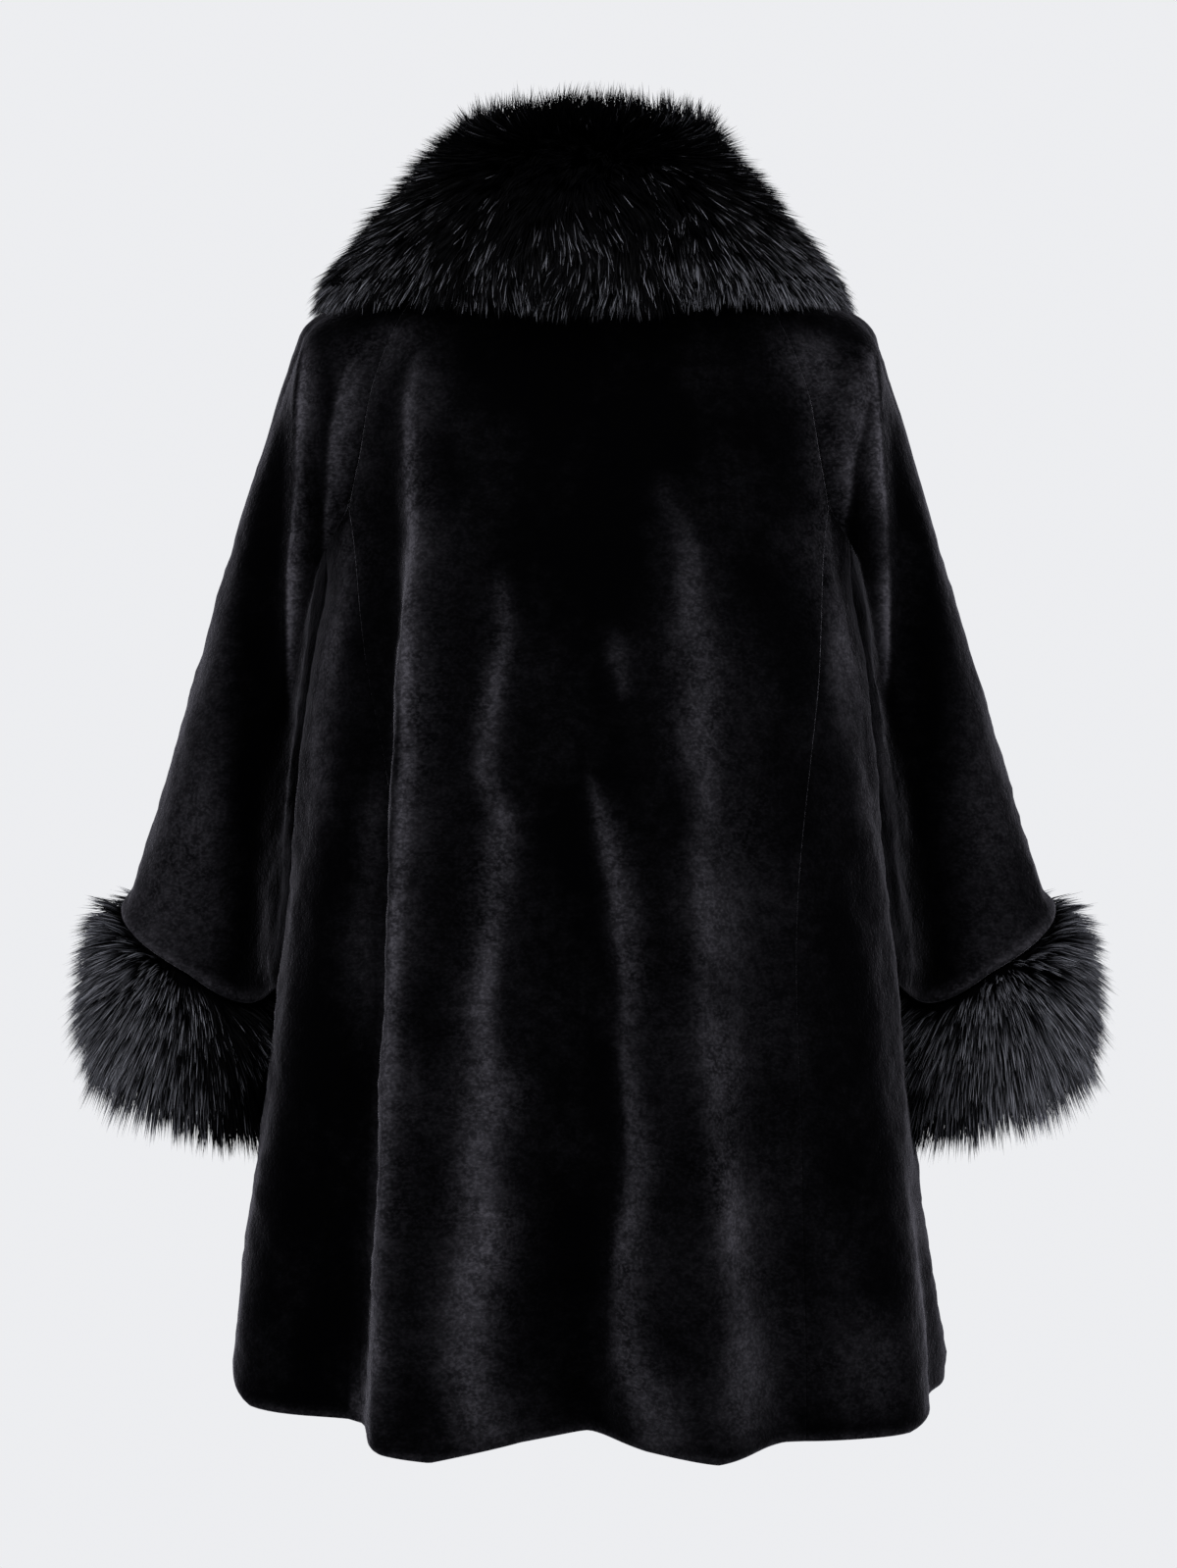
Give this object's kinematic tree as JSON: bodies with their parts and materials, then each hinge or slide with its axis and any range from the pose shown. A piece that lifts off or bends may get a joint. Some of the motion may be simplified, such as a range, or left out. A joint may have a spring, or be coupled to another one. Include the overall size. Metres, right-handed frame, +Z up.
{
  "type": "faux fur coat",
  "caption": "black faux fur swing coat with a wide long-haired collar, wide raglan sleeves and deep long-haired cuffs, in its worn shape",
  "frame": {"origin": "the middle of the neck at the height of the shoulder line, where the wearer's neck and shoulders carry the coat", "axes": "+Z is up along the coat, +Y points behind the wearer out of the back of the coat, and +X points to the wearer's left"},
  "size_m": [0.7321, 0.4157, 0.9109],
  "materials": {
    "short_nap": "dense short black nap, velvety",
    "long_fur": "long glossy black fur with blue-grey tips"
  },
  "bodies": {
    "root": {"back": "short_nap", "front_left": "short_nap", "front_right": "short_nap", "sleeve_left": "short_nap", "sleeve_right": "short_nap", "collar": "long_fur", "cuff_left": "long_fur", "cuff_right": "long_fur"}
  },
  "joints": []
}
